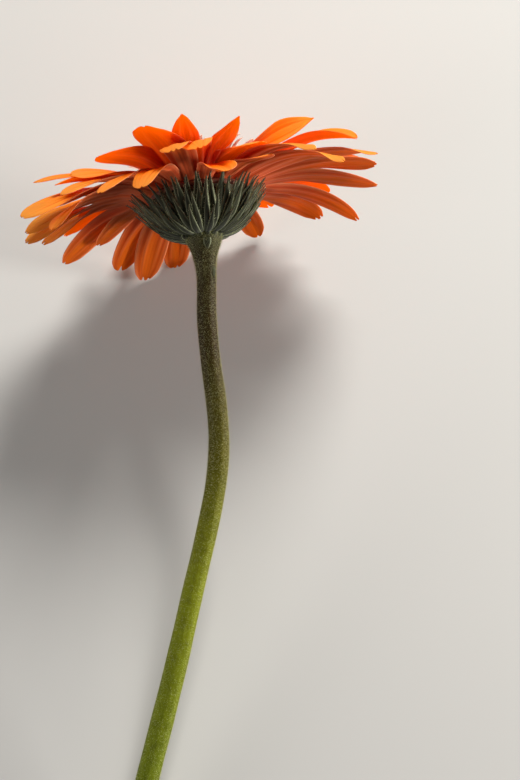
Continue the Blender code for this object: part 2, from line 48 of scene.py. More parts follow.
head = {"place": (-0.5, 110.8, 50.0), "lean": 8.0, "neckHeight": -11.8, "neckRadius": 5.0}

lean = math.radians(head["lean"])
headPlace = np.array(head["place"])
axis = np.array((-math.sin(lean), math.cos(lean), 0.0))
across = np.array((math.cos(lean), math.sin(lean), 0.0))
below = np.cross(axis, across)


# places on the head

def spoke(azimuth):  # unit vectors away from the head's axis
    angle = np.radians(np.asarray(azimuth, float))[..., None]
    return across * np.cos(angle) + below * np.sin(angle)


def tangent(azimuth):
    angle = np.radians(np.asarray(azimuth, float))[..., None]
    return below * np.cos(angle) - across * np.sin(angle)


def headPoints(azimuth, radius, height):
    radius = np.asarray(radius, float)[..., None]
    height = np.asarray(height, float)[..., None]
    return headPlace + spoke(azimuth) * radius + axis * height


def softStep(low, high, value):
    t = np.clip((value - low) / (high - low), 0, 1)
    return t * t * (3 - 2 * t)


def softOver(value, floor, ease):  # bends value smoothly so that it stays over floor
    return floor + ease * np.logaddexp(0, (value - floor) / ease)


seatLook = {"radius": 14.0, "height": -0.5, "slope": 0.34, "reach": 24.0}


def seatHeight(radius):  # the cone between the bracts and the petals
    return seatLook["height"] + seatLook["slope"] * (radius - seatLook["radius"])


def fromHead(points):  # height along the head's axis, and distance from that axis
    offset = points - headPlace
    height = offset @ axis
    return height, np.linalg.norm(offset - height[..., None] * axis, axis=-1)


def aboveSeat(points, clearance):
    height, radius = fromHead(points)
    lifted = softOver(height, seatHeight(radius) + clearance, 0.25)
    share = 1 - softStep(seatLook["reach"] - 3, seatLook["reach"] + 3, radius)
    return points + axis * ((lifted - height) * share)[..., None]


def belowSeat(points, clearance):
    height, radius = fromHead(points)
    lowered = -softOver(-height, clearance - seatHeight(radius), 0.2)
    return points + axis * (lowered - height)[..., None]


def onSurface(points, lowest, ease):  # lets a petal bend softly onto the table
    bent = points.copy()
    bent[..., 2] = softOver(points[..., 2], lowest, ease)
    return bent


def unit(vectors, least=0.0):  # each row made 1 long; least guards a row of no length
    return vectors / (np.linalg.norm(vectors, axis=1, keepdims=True) + least)


def outBy(direction, amount):  # a direction for each row, times an amount for each point of the grid
    return direction[:, None, :] * amount[..., None]


# making meshes

def selectNothing():
    bpy.ops.object.select_all(action="DESELECT")


def selectOnly(piece):
    selectNothing()
    piece.select_set(True)
    bpy.context.view_layer.objects.active = piece


def shapedGrid(name, points, along=None, tone=0.0, thin=False):
    rows, columns = points.shape[:2]
    selectNothing()
    bpy.ops.mesh.primitive_grid_add(x_subdivisions=columns - 1, y_subdivisions=rows - 1, size=1)
    sheet = bpy.context.object
    sheet.name = name
    mesh = sheet.data
    flat = np.empty(len(mesh.vertices) * 3)
    mesh.vertices.foreach_get("co", flat)
    flat = flat.reshape(-1, 3)
    column = np.rint((flat[:, 0] + 0.5) * (columns - 1)).astype(int)
    row = np.rint((flat[:, 1] + 0.5) * (rows - 1)).astype(int)
    mesh.vertices.foreach_set("co", (points[row, column] * mm).ravel())
    along = np.linspace(0, 1, rows) if along is None else along
    corner = np.empty(len(mesh.loops), int)
    mesh.loops.foreach_get("vertex_index", corner)
    uv = np.stack((column[corner] / (columns - 1), along[row[corner]]), axis=1)
    mesh.uv_layers[0].data.foreach_set("uv", uv.ravel())
    shade = mesh.attributes.new("tone", "FLOAT", "POINT")
    shade.data.foreach_set("value", np.full(len(mesh.vertices), tone))
    if thin:  # full thickness in the middle, less at the rim
        group = sheet.vertex_groups.new(name="thickness")
        side = np.abs(column / (columns - 1) * 2 - 1)
        weight = (1 - side ** 3) * (1 - softStep(0.85, 1.0, along[row]))
        for index, value in enumerate(weight):
            group.add([index], float(value), "REPLACE")
    mesh.update()
    return sheet


def joined(pieces, name):
    selectNothing()
    for piece in pieces:
        piece.select_set(True)
    bpy.context.view_layer.objects.active = pieces[0]
    bpy.ops.object.join()
    whole = bpy.context.object
    whole.name = name
    whole.data.name = name
    return whole


def thicken(piece, thickness, rimShare=1.0, slot=0):  # slot is the material of the back and the rim
    wall = piece.modifiers.new("wall", "SOLIDIFY")
    wall.thickness = thickness * mm
    wall.offset = 0
    wall.material_offset = slot
    wall.material_offset_rim = slot
    if "thickness" in piece.vertex_groups:
        wall.vertex_group = "thickness"
        wall.thickness_vertex_group = rimShare
    selectOnly(piece)
    bpy.ops.object.modifier_apply(modifier=wall.name)
    piece.vertex_groups.clear()


def smooth(piece):
    selectOnly(piece)
    bpy.ops.object.shade_smooth()


def selectFaces(piece, wanted):  # leaves the piece in edit mode with only those faces selected
    selectOnly(piece)
    bpy.ops.object.mode_set(mode="EDIT")
    bpy.ops.mesh.select_mode(type="FACE")
    bpy.ops.mesh.select_all(action="DESELECT")
    bpy.ops.object.mode_set(mode="OBJECT")
    for face in piece.data.polygons:
        face.select = wanted(face)
    bpy.ops.object.mode_set(mode="EDIT")


def closeSeams(piece):  # welds where a grid meets itself and fills what stays open
    selectOnly(piece)
    bpy.ops.object.mode_set(mode="EDIT")
    bpy.ops.mesh.select_all(action="SELECT")
    bpy.ops.mesh.remove_doubles(threshold=0.01 * mm)
    bpy.ops.mesh.fill_holes(sides=0)
    bpy.ops.mesh.normals_make_consistent(inside=False)
    bpy.ops.object.mode_set(mode="OBJECT")


def turnedBody(name, profile, sides):  # profile of (radius, height) turned round the head's axis
    profile = np.array(profile)
    azimuth = np.linspace(0, 360, sides + 1)[None, :] + np.zeros((len(profile), 1))
    radius = profile[:, :1] + np.zeros_like(azimuth)
    height = profile[:, 1:] + np.zeros_like(azimuth)
    body = shapedGrid(name, headPoints(azimuth, radius, height))
    closeSeams(body)
    return body


def copiesOf(template, name, places, frames, scales):  # one mesh of many placed copies of a small shape
    mesh = template.data
    shape = np.empty(len(mesh.vertices) * 3)
    mesh.vertices.foreach_get("co", shape)
    shape = shape.reshape(-1, 3)
    faces = [tuple(face.vertices) for face in mesh.polygons]
    spread = np.einsum("vk,nk,nkd->nvd", shape, scales, frames) + places[:, None, :]
    allFaces = []
    for index in range(len(places)):
        first = index * len(shape)
        allFaces += [tuple(first + corner for corner in face) for face in faces]
    made = bpy.data.meshes.new(name)
    made.from_pydata((spread.reshape(-1, 3) * mm).tolist(), [], allFaces)
    made.update()
    copies = bpy.data.objects.new(name, made)
    bpy.context.scene.collection.objects.link(copies)
    bpy.data.objects.remove(template)
    return copies


def framesAlong(directions):  # rows are each copy's own x, y and z
    z = unit(directions)
    guide = np.where(np.abs(z[:, 2:]) < 0.9, np.array((0.0, 0.0, 1.0)), np.array((1.0, 0.0, 0.0)))
    x = unit(np.cross(guide, z))
    return np.stack((x, np.cross(z, x), z), axis=1)


def copyScales(width, length):  # a row for each copy
    return np.stack((width, width, length), axis=1)


def coneTemplate(sides, top):  # radius 1 at the foot and top at the tip, 1 high
    selectNothing()
    bpy.ops.mesh.primitive_cone_add(vertices=sides, radius1=1, radius2=top, depth=1, location=(0, 0, 0.5))
    bpy.ops.object.transform_apply(location=True)
    return bpy.context.object


# finishes

class Wire:  # one socket of a material; arithmetic on it adds Math nodes
    def __init__(self, tree, socket=None):
        self.tree = tree
        self.socket = socket

    def node(self, kind, settings=None, values=None, out=0):
        made = self.tree.nodes.new("ShaderNode" + kind)
        for name, value in (settings or {}).items():
            if name == "stops":
                ramp = made.color_ramp.elements
                while len(ramp) < len(value):
                    ramp.new(0.5)
                for stop, (place, colour) in zip(ramp, value):
                    stop.position = place
                    stop.color = (*colour, 1)
            else:
                setattr(made, name, value)
        for name, value in (values or {}).items():
            if isinstance(value, Wire):
                self.tree.links.new(value.socket, made.inputs[name])
            else:
                made.inputs[name].default_value = value
        return Wire(self.tree, made.outputs[out])

    def maths(self, operation, first, second=0.0):
        return self.node("Math", {"operation": operation}, {0: first, 1: second})

    def __add__(self, other):
        return self.maths("ADD", self, other)

    def __sub__(self, other):
        return self.maths("SUBTRACT", self, other)

    def __rsub__(self, other):
        return self.maths("SUBTRACT", other, self)

    def __mul__(self, other):
        return self.maths("MULTIPLY", self, other)

    def __pow__(self, other):
        return self.maths("POWER", self, other)

    def size(self):
        return self.maths("ABSOLUTE", self)

    def clamped(self):
        return self.node("Clamp", values={0: self})

    def bump(self, centre, width):  # 1 at centre, 0 from width away
        return (1 - (self - centre).size() * (1 / width)).clamped()

    def ramp(self, *stops):
        return self.node("ValToRGB", {"stops": stops}, {0: self})

    def tint(self, factor, colour, how="MIX"):  # this colour, mixed with another by factor
        colour = colour if isinstance(colour, Wire) else (*colour, 1)
        return self.node("Mix", {"data_type": "RGBA", "blend_type": how}, {0: factor, 6: self, 7: colour}, 2)

    def noise(self, place, scale, detail=2.0, stretch=(1, 1, 1)):
        spread = self.node("Mapping", values={"Vector": place, "Scale": stretch})
        return self.node("TexNoise", values={"Vector": spread, "Scale": scale, "Detail": detail})


def newFinish(name, fixed):
    material = bpy.data.materials.new(name)
    material.use_nodes = True
    shader = material.node_tree.nodes["Principled BSDF"]
    for socket, value in fixed.items():
        shader.inputs[socket].default_value = value
    return material, Wire(material.node_tree)


def feed(material, socket, wire):
    shader = material.node_tree.nodes["Principled BSDF"]
    material.node_tree.links.new(wire.socket, shader.inputs[socket])


def feedShaded(material, colour, light):  # the colour, times how light it is from spot to spot
    grey = light.node("CombineColor", values={0: light, 1: light, 2: light})
    feed(material, "Base Color", colour.tint(1.0, grey, "MULTIPLY"))


def giveRelief(material, strength, depth, height):
    bump = height.node("Bump", values={"Strength": strength, "Distance": depth * mm, "Height": height})
    feed(material, "Normal", bump)


def letLightThrough(material, share, colour):
    tree = material.node_tree
    start = Wire(tree)
    surface = Wire(tree, tree.nodes["Principled BSDF"].outputs[0])
    glow = start.node("BsdfTranslucent", values={"Color": (*colour, 1)})
    mixed = start.node("MixShader", values={0: share, 1: surface, 2: glow})
    tree.links.new(mixed.socket, tree.nodes["Material Output"].inputs["Surface"])


def sheetRuns(start):  # place on the sheet, distance from its middle line, distance from its root
    spot = start.node("TexCoord", out="UV")
    cross = (start.node("SeparateXYZ", values={0: spot}, out=0) * 2 - 1).size()
    along = start.node("SeparateXYZ", values={0: spot}, out=1)
    return spot, cross, along


# three colours are at the root, middle and tip; "Through" is how much light passes at the root and tip
petalFinish = {
    # the face's deep red root is partly the petals' own colour, partly painted shade where petals overlap
    # near the crown
    "face": ((0.86, 0.008, 0.005), (0.96, 0.25, 0.005), (0.98, 0.48, 0.075)),
    "faceThrough": (0.24, 0.62),
    # the outer undersides' lighter root is partly their own salmon colour, partly painted light lifting
    # roots that sit in shade
    "outer": ((0.56, 0.098, 0.032), (0.25, 0.040, 0.007), (0.28, 0.054, 0.003)),
    "outerThrough": (0.22, 0.34),
    # the inner undersides' deep red is partly painted shade: the red of light through shaded, overlapping
    # petals
    "inner": ((0.60, 0.045, 0.018), (0.60, 0.036, 0.006), (0.80, 0.19, 0.008)),
    "innerThrough": (0.2, 0.9),
    # edge is the pale margin colour of the undersides: painted rim light
    "centre": (0.52, 0.115, 0.003), "edge": (0.70, 0.27, 0.12), "backCreaseShade": (0.6, 0.3, 0.2),
    # the two crease colours are painted shade, multiplied into the grooves and creases
    "faceGrooveShade": (0.8, 0.3, 0.2), "through": (1.0, 0.36, 0.004),
}


def petalMaterial(name, kind):
    look = petalFinish
    material, start = newFinish(name, {"Roughness": 0.55, "Specular IOR Level": 0.14})
    spot, cross, along = sheetRuns(start)
    tone = start.node("Attribute", {"attribute_name": "tone"}, out="Fac")
    shift = start.node("CombineXYZ", values={2: tone * 9})
    place = start.node("VectorMath", {"operation": "ADD"}, {0: spot, 1: shift})
    veins = start.noise(place, 1.0, 3.0, (19, 0.9, 1))
    blotch = start.noise(place, 3.0, 2.0, (1, 2, 1))
    groove = cross.bump(0.42, 0.14) * (1 - along ** 4)
    root, middle, tip = look[kind]
    if kind == "face":
        # deep red towards the root: partly own colour, partly painted shade
        colour = along.ramp((0.32, root), (0.62, middle), (0.96, tip))
        # lighter margins: painted rim light
        colour = colour.tint((cross ** 6) * 0.3, tip)
        # darker in the grooves: painted shade
        colour = colour.tint(groove * 0.5, look["faceGrooveShade"], "MULTIPLY")
    else:
        stripes = start.noise(place, 1.0, 2.0, (9, 1.2, 1))
        stripeShare = (stripes * 3 - 1).clamped() * along.bump(0.75, 0.6) * 0.45
        middleShare = cross.bump(0.0, 0.5) * along.bump(0.8, 0.45) * 0.75
        # the root colour carries painted light on outer undersides and painted shade on inner ones
        colour = along.ramp((0.12, root), (0.5, middle), (0.96, tip))
        colour = colour.tint(stripeShare, look["centre"])
        colour = colour.tint(middleShare, look["centre"])
        # pale margins: painted rim light
        colour = colour.tint((cross ** 9) * 0.7, look["edge"])
        # lighter along the grooves, which stand as ribs on the back, and darker in the crease beside them:
        # painted highlight and painted shade
        colour = colour.tint(groove * 0.22, look["edge"])
        colour = colour.tint(cross.bump(0.62, 0.12) * 0.5, look["backCreaseShade"], "MULTIPLY")
    feedShaded(material, colour, veins * 1.3 + 0.3 + blotch * 0.16 + tone * 0.14)
    giveRelief(material, 0.45, 0.15, veins + groove * -0.6)
    low, high = look[kind + "Through"]
    letLightThrough(material, (along ** 1.5) * (high - low) + low, look["through"])
    return material


def plainSkin(name, colour, roughness, share=0.0, through=None, speckle=0.25, scale=900.0):
    material, start = newFinish(name, {"Roughness": roughness})
    grain = start.noise(start.node("TexCoord", out="Object"), scale)
    plain = start.node("RGB")
    plain.socket.default_value = (*colour, 1)
    feedShaded(material, plain, grain * speckle * 2 + (1 - speckle))
    giveRelief(material, 0.3, 0.1, grain)
    if through:
        letLightThrough(material, share, through)
    return material


# ray petals

petalLook = {
    "rows": 44, "columns": 23, "claw": 0.56, "widest": 0.6, "endWidth": 0.14, "bluntWidth": 0.36,
    "pointEase": 1.35, "bluntEase": 1.9, "taper": 0.8, "grooveDepth": 0.42, "grooveAt": 0.42,
    "grooveWidth": 0.13, "sideDip": 0.12, "ribDepth": 0.05, "ribTurns": 23, "rootChannel": 0.42,
    "edgeWave": 0.35, "rootHandle": 0.42, "tipHandle": 0.32, "tipCurl": 0.08, "lineSteps": 121,
    "thickness": 0.42, "rimShare": 0.4, "clearance": 0.55, "surfaceEase": 0.8, "cupSeed": 24, "seed": 71,
}

# azimuth, reach, rise, width, lift at the root, fall at the tip, bluntness of the tip,
# then where it isn't the usual one: swing, roll, where the roll starts, arch of the cross-section
usualTurn = (0, 0, 0.3, -0.15)
outerRoot = (13.4, 0.7)
outerPetals = (
    (-98, 46.5, 0.9, 10.0, 26, -54, 0.9, 0, 6, 0.5),
    (-111, 48.5, -8.6, 9.0, 18, -50, 0.7, 4, 3),
    (-129, 47, -5.8, 7.8, 22, -46, 0.8, -3, -12, 0.6),
    (-146, 50, -2.2, 6.8, 22, -36, 0.4, 0, -30, 0.2),
    (-161, 48.6, -9.0, 9.6, 18, -66, 0.5, 2, -26, 0.6),
    (-161, 57.6, -4.6, 11.0, 20, -30, 0.2, 0, -42, 0.1),
    (-168, 51, -0.5, 9.0, 20, -24, 0.2, 0, -38, 0.1),
    (178, 54.6, -3.6, 9.5, 18, -34, 0.2, 0, -54, 0.1),
    (172, 55.8, -5.0, 9.5, 18, -34, 0.3, 0, -54, 0.1),
    (164, 52.4, -4.2, 9.5, 18, -38, 0.6, 0, -54, 0.2),
    (146, 54, -7, 12.5, 16, -38, 0.6),
    (141, 43, -3.4, 8.5, 20, -30, 0.7),
    (122, 53, -7.5, 10.5, 22, -44, 0.8, 0, 4),
    (112, 54, -10.7, 10.8, 22, -46, 0.8),
    (100.5, 54, -7.8, 9.5, 22, -42, 0.8),
    (88.5, 52, -4, 8.0, 22, -38, 0.8),
    (69.5, 52, -1.6, 8.8, 22, -40, 0.8, 0, -4),
    (52.5, 46.5, 5, 9.2, 20, -26, 0.8),
    (43, 52.5, -1.9, 9.5, 12, -44, 0.9, 0, -8),
    (28, 56.3, -6.8, 9.0, 14, -46, 0.5, 0, -6),
    (12, 57.5, -0.5, 12.0, 18, -22, 0.2, 0, -4),
    (0, 56, 2.9, 9.5, 20, -16, 0.9, 0, -9, 0.2),
    (-11, 57, 2.7, 9.5, 22, -26, 0.3, 2, 25, 0.75),
    (-27, 50, -2, 8.5, 24, -46, 0.2, 6, 40, 0.78),
    (-41, 47.6, 0.3, 8.0, 26, -44, 0.1, 10, 36, 0.78),
    (-52, 37, 1.5, 8.5, 24, -8, 0.4, 4, 10),
    (-80, 45.5, -6.8, 9.4, 20, -16, 1.0, 0, 0, 0.3, 0.3),
)
innerRoot = (12.3, 1.5)
innerPetals = (
    (-88, 43.6, 1.6, 10.0, 37, -56, 0.8, 0, 16, 0.4),
    (-93.2, 45.5, 12.3, 8.4, 38, 8, -0.3),
    (-108, 45, 11, 13.0, 36, 2, 0.8, 0, -10),
    (-129, 46.2, 5.6, 13.0, 37, -8, 0.0, 0, 10, 0.0, 0.05),
    (-150, 44, 5.4, 8.6, 30, -18, 0.2, 0, -42, 0.0),
    (-167, 51, 8.0, 9.2, 30, -18, -0.1, 0, -33, 0.0),
    (-160, 46, 5, 7.5, 28, -24, 0.1),
    (170, 51, 1, 9.0, 28, -26, 0.3, 0, -50, 0.1),
    (154.6, 48, -0.8, 13.0, 26, -36, 0.3, -2, -6, 0.2),
    (132, 48, 5, 8.5, 30, -18, 0.7),
    (116, 48, 5, 9.0, 30, -18, 0.8),
    (96, 47, 6, 9.0, 30, -16, 0.6),
    (76.5, 46, 0.5, 8.5, 22, -22, 0.8),
    (61, 48, 6, 9.0, 30, -16, 0.7),
    (46, 49, 7, 8.5, 30, -14, 0.6),
    (31, 48.5, 3.1, 8.5, 24, -20, 1.2, 0, -8),
    (6, 52, 7, 8.5, 30, -16, 0.4),
    (-20, 53, 6.0, 10.5, 26, -24, 0.2, 4, 24, 0.0, 0.55),
    (-38, 47, 11, 10.6, 38, 8, -0.4, 4, 70, -0.5, 0.1),
    (-56, 36, 5.5, 13.5, 46, -17, 0.0, 10, 12, 0.0),
    (-71.5, 45.5, 10.0, 6.8, 34, 14, -0.5, 6, -25, 0.2),
)


def middleLine(root, tip, lift, fall, stations):  # places and directions in a strap's upright plane
    start, end = np.array(root, float), np.array(tip, float)
    span = np.linalg.norm(end - start)
    lift, fall = math.radians(lift), math.radians(fall)
    second = start + np.array((math.cos(lift), math.sin(lift))) * span * petalLook["rootHandle"]
    bend = petalLook["tipHandle"] - petalLook["tipCurl"] * abs(fall) / (math.pi / 2)
    third = end - np.array((math.cos(fall), math.sin(fall))) * span * bend
    t = np.linspace(0, 1, petalLook["lineSteps"])[:, None]
    u = 1 - t
    fine = start * u ** 3 + second * 3 * t * u * u + third * 3 * t * t * u + end * t ** 3
    length = np.concatenate(((0,), np.cumsum(np.linalg.norm(np.diff(fine, axis=0), axis=1))))
    at = stations * length[-1]
    slopes = np.gradient(fine, length, axis=0)
    place = np.stack([np.interp(at, length, fine[:, k]) for k in (0, 1)], axis=1)
    slope = np.stack([np.interp(at, length, slopes[:, k]) for k in (0, 1)], axis=1)
    return place, unit(slope)


def strapFrame(turn, place, slope, bank):  # a strap's middle line, with its side, up and forward there
    out, side = spoke(turn), tangent(turn)
    middle = headPlace + out * place[:, :1] + axis * place[:, 1:]
    forward = out * slope[:, :1] + axis * slope[:, 1:]
    up = axis * slope[:, :1] - out * slope[:, 1:]
    side, up = side * np.cos(bank) + up * np.sin(bank), up * np.cos(bank) - side * np.sin(bank)
    return middle, side, up, forward


def petalWidth(s, blunt):
    look = petalLook
    grow = np.sin(np.minimum(s / look["widest"], 1) * math.pi / 2) ** 1.2
    width = look["claw"] + (1 - look["claw"]) * grow
    t = np.clip((s - look["widest"]) / (1 - look["widest"]), 0, 1)
    square, sharp = max(blunt, 0), max(-blunt, 0)
    end = look["endWidth"] + look["bluntWidth"] * square
    narrowed = 1 - (1 - end ** 2) * t ** (look["pointEase"] + look["bluntEase"] * square)
    return width * narrowed ** (0.5 + look["taper"] * sharp)


def tipTeeth(v, rng):  # how far the tip is cut back across its width, mm
    if rng.random() < 0.55:  # two teeth
        notch = rng.uniform(0.5, 1.5) * np.exp(-((v - rng.uniform(-0.2, 0.2)) / 0.16) ** 2)
    else:  # three teeth
        notch = rng.uniform(0.4, 1.2) * np.exp(-((v - rng.uniform(0.3, 0.5)) / 0.15) ** 2)
        notch = notch + rng.uniform(0.4, 1.2) * np.exp(-((v + rng.uniform(0.3, 0.5)) / 0.15) ** 2)
    deep = 2.0 if rng.random() < 0.2 else 1.0  # one tip in five is cut deeper
    return notch * deep


def rayPetal(numbers, root, cup, rng):
    azimuth, reach, rise, width, lift, fall, blunt = numbers[:7]
    swing, roll, rollFrom, arch = numbers[7:] + usualTurn[len(numbers) - 7:]
    look = petalLook
    s = 1 - (1 - np.linspace(0, 1, look["rows"])) ** 1.25
    v = -np.linspace(-1, 1, look["columns"])
    place, slope = middleLine(root, (reach, rise), lift, fall, s)
    turn = azimuth - swing * (1 - s) ** 1.5 + rng.uniform(-1, 1) * np.sin(math.pi * s)
    bank = np.radians(roll) * softStep(rollFrom, 1, s)[:, None]
    middle, side, up, forward = strapFrame(turn, place, slope, bank)
    half = (width / 2 * petalWidth(s, blunt))[:, None]
    cupping = (look["rootChannel"] * (1 - s) ** 2 + cup * (1 - s) + arch * softStep(0.25, 0.8, s))[:, None]
    flat = np.abs(v)[None, :]
    body = np.sin(math.pi * np.minimum(s * 1.1, 1))[:, None] ** 0.7
    groove = look["grooveDepth"] * np.exp(-((flat - look["grooveAt"]) / look["grooveWidth"]) ** 2) * body
    groove = groove + look["sideDip"] * np.sin(math.pi * flat) * body
    ribs = look["ribDepth"] * np.cos(v[None, :] * look["ribTurns"] + rng.uniform(0, 6)) * body
    phase = rng.uniform(1.2, 2.2) * s[:, None] + rng.random() + 0.25 * np.sign(v)[None, :]
    wave = look["edgeWave"] * rng.uniform(0.3, 1.2) * np.sin(2 * math.pi * phase) * flat ** 3 * s[:, None]
    height = half * cupping * v ** 2 - groove + ribs + wave
    cut = (0.6 + 0.5 * max(blunt, 0)) * flat ** 2.4 + tipTeeth(v, rng)[None, :] * (1 - flat ** 6)
    cut = cut * softStep(0.9, 1.0, s)[:, None]
    points = middle[:, None, :] + outBy(side, half * v) + outBy(up, height) - outBy(forward, cut)
    points = aboveSeat(points, look["clearance"])
    points = onSurface(points, look["thickness"] / 2 + 0.02, look["surfaceEase"])
    return shapedGrid("petal", points, s, rng.random(), thin=True)


def petalLayer(name, rows, root, cups, rng, finishes):
    petals = [rayPetal(numbers, root, cup, rng) for numbers, cup in zip(rows, cups)]
    layer = joined(petals, name)
    for finish in finishes:
        layer.data.materials.append(finish)
    thicken(layer, petalLook["thickness"], petalLook["rimShare"], 1)
    smooth(layer)
    print(name, "petals:", len(rows), "faces:", len(layer.data.polygons))
    return layer


cupDraws = random.Random(petalLook["cupSeed"])
cupDepths = [cupDraws.uniform(0.05, 0.22) for _ in outerPetals + innerPetals]
petalDraws = random.Random(petalLook["seed"])
petalFace = petalMaterial("petalFace", "face")
outerBack, innerBack = petalMaterial("outerBack", "outer"), petalMaterial("innerBack", "inner")
outerCups, innerCups = cupDepths[:len(outerPetals)], cupDepths[len(outerPetals):]
outerRays = petalLayer("outerRays", outerPetals, outerRoot, outerCups, petalDraws, (petalFace, outerBack))
innerRays = petalLayer("innerRays", innerPetals, innerRoot, innerCups, petalDraws, (petalFace, innerBack))

# receptacle ring that carries the petals: radius and height round its section

ringLook = {
    "profile": (
        (11.0, -0.6), (14.6, -0.6), (15.6, 0.3), (15.0, 1.0), (14.0, 1.7), (11.0, 1.7), (11.0, -0.6),
    ),
    "sides": 96,
}
petalSeat = turnedBody("petalSeat", ringLook["profile"], ringLook["sides"])
petalSeat.data.materials.append(plainSkin("seatSkin", (0.16, 0.035, 0.012), 0.7))
smooth(petalSeat)

# involucre: the cup and its rows of bracts

cupLook = {"radius": 15.6, "rim": -0.9, "sides": 96, "rings": 14}
bractLook = {
    "rows": 17, "columns": 7, "ridge": 0.22, "keelHeight": 0.1, "keelWidth": 0.2, "thickness": 0.22,
    "wander": 4.0, "swing": 5.0, "shorter": 8.0, "leftward": 0.05, "seed": 23,
}
bractFinish = {
    "skin": {"Roughness": 0.75, "Specular IOR Level": 0.1, "Sheen Weight": 0.1},
    # the near-black middle stops are partly the bracts' own dark olive, partly painted shade
    "ramp": (
        (0.0, (0.05, 0.055, 0.022)), (0.3, (0.012, 0.013, 0.004)),
        (0.8, (0.016, 0.018, 0.006)), (1.0, (0.05, 0.04, 0.018)),
    ),
    "fuzz": (0.30, 0.33, 0.19), "edge": (0.42, 0.45, 0.28),
}
# count, bowl angle of the root and of the tip, flare and lift of the tip, how far proud of the cup, width
bractRows = (
    (36, 44, 90, 5.6, 2.3, 0.15, 2.15),
    (34, 30, 88, 5.2, 2.6, 0.35, 2.1),
    (30, 16, 83, 4.4, 1.9, 0.58, 2.0),
    (24, 2, 72, 3.2, 1.1, 0.8, 1.8),
    (14, -14, 54, 1.8, 0.6, 1.0, 1.6),
)


# radius and height on the cup, proud mm outside it; an angle below 0 runs down the stem's flare
def bowl(angle, proud):
    turn = np.radians(np.maximum(angle, 0))
    slip = np.minimum(angle, 0) / 14
    depth = cupLook["rim"] - head["neckHeight"]
    radius = head["neckRadius"] + (cupLook["radius"] - head["neckRadius"] + proud) * np.sin(turn)
    radius = radius + proud * 0.5 * np.cos(turn) ** 4 + slip * 0.3
    height = head["neckHeight"] + depth * (1 - np.cos(turn)) - proud * np.cos(turn) * (1 + slip) + slip * 1.8
    return radius, height


def bract(azimuth, numbers, rng):
    root, tip, flare, lift, proud, width = numbers
    look = bractLook
    azimuth += rng.uniform(-look["wander"], look["wander"])
    swing = rng.uniform(-look["swing"], look["swing"])
    tip += rng.uniform(-look["shorter"], look["shorter"] * 0.6)
    flare *= rng.uniform(0.75, 1.2) * (1 - look["leftward"] * math.cos(math.radians(azimuth)))
    width *= rng.uniform(0.8, 1.15)
    outward = rng.uniform(0.0, 0.5) ** 2
    t = np.linspace(0, 1, look["rows"])
    v = np.linspace(-1, 1, look["columns"])
    angle = root + (tip - root) * t
    radius, height = bowl(angle, proud + 0.25 * t)
    turn = azimuth + swing * t ** 2
    middle = headPoints(turn, radius + flare * t ** 3, height + lift * t ** 3)
    half = width / 2 * (0.8 + 0.9 * t) * (1 - softStep(0.42, 1.1, t))
    half = np.maximum(half, 0.07)
    side = tangent(turn)
    back = spoke(turn) * np.sin(np.radians(angle))[:, None] - axis * np.cos(np.radians(angle))[:, None]
    keel = look["keelHeight"] * np.exp(-(v / look["keelWidth"]) ** 2)
    hump = look["ridge"] * (1 - v ** 2)[None, :] * (1 - 0.5 * t)[:, None] + keel[None, :]
    points = middle[:, None, :] + outBy(side, half[:, None] * v)
    points = points + outBy(back, hump + outward * t[:, None] ** 4)
    return belowSeat(points, 0.15)


looseLook = {
    "rows": 17, "columns": 5, "azimuth": -152, "drift": 4, "radius": 7.0, "height": -11.9,
    "length": 5.0, "width": 0.9, "slope": -25, "curl": 300, "ease": 1.6,
}


def looseScale():  # a small scale at the neck whose tip has curled away
    look = looseLook
    t = np.linspace(0, 1, look["rows"])
    v = np.linspace(-1, 1, look["columns"])
    turn = np.radians(look["slope"] - look["curl"] * t ** look["ease"])
    radius = look["radius"] + np.cumsum(np.cos(turn)) * look["length"] / look["rows"]
    height = look["height"] + np.cumsum(np.sin(turn)) * look["length"] / look["rows"]
    azimuth = look["azimuth"] + look["drift"] * t
    half = look["width"] / 2 * np.sqrt(np.clip(1 - t, 0.01, 1))
    middle = headPoints(azimuth, radius, height)
    return middle[:, None, :] + outBy(tangent(azimuth), half[:, None] * v)


def buildInvolucre():
    rng = random.Random(bractLook["seed"])
    profile = [bowl(angle, 0.0) for angle in np.linspace(0, 90, cupLook["rings"])]
    profile.append((cupLook["radius"] - 1.2, cupLook["rim"] + 0.1))
    cup = turnedBody("cup", profile, cupLook["sides"])
    sheets, edges = [], []
    for shift, (count, *numbers) in enumerate(bractRows):
        for index in range(count):
            azimuth = 360 * (index + 0.5 * (shift % 2)) / count
            points = bract(azimuth, numbers, rng)
            sheets.append(shapedGrid("bract", points, tone=rng.random()))
            edges.append(points)
    sheets.append(shapedGrid("loose", looseScale(), tone=0.9))
    leaves = joined(sheets, "leaves")
    thicken(leaves, bractLook["thickness"])
    whole = joined([leaves, cup], "bractCup")
    smooth(whole)
    return whole, edges


def bractMaterial():
    look = bractFinish
    material, start = newFinish("bractSkin", look["skin"])
    spot, cross, along = sheetRuns(start)
    tone = start.node("Attribute", {"attribute_name": "tone"}, out="Fac")
    streaks = start.noise(spot, 1.0, 2.0, (30, 2, 1))
    fuzz = start.noise(spot, 1.0, 2.0, (16, 5, 1))
    grain = start.noise(start.node("TexCoord", out="Object"), 1400.0)
    # dark along the middle of each bract: partly own colour, partly painted shade
    colour = along.ramp(*look["ramp"])
    colour = colour.tint((fuzz * 3.2 - 1.6).clamped() * 0.34, look["fuzz"])
    colour = colour.tint((cross ** 6) * 0.8, look["edge"])
    feedShaded(material, colour, streaks * 0.8 + grain * 0.3 + tone * 0.5 - 0.05)
    giveRelief(material, 0.5, 0.12, streaks + grain)
    return material


bractCup, bractEdges = buildInvolucre()
bractCup.data.materials.append(bractMaterial())
print("bractCup faces:", len(bractCup.data.polygons))

# stem

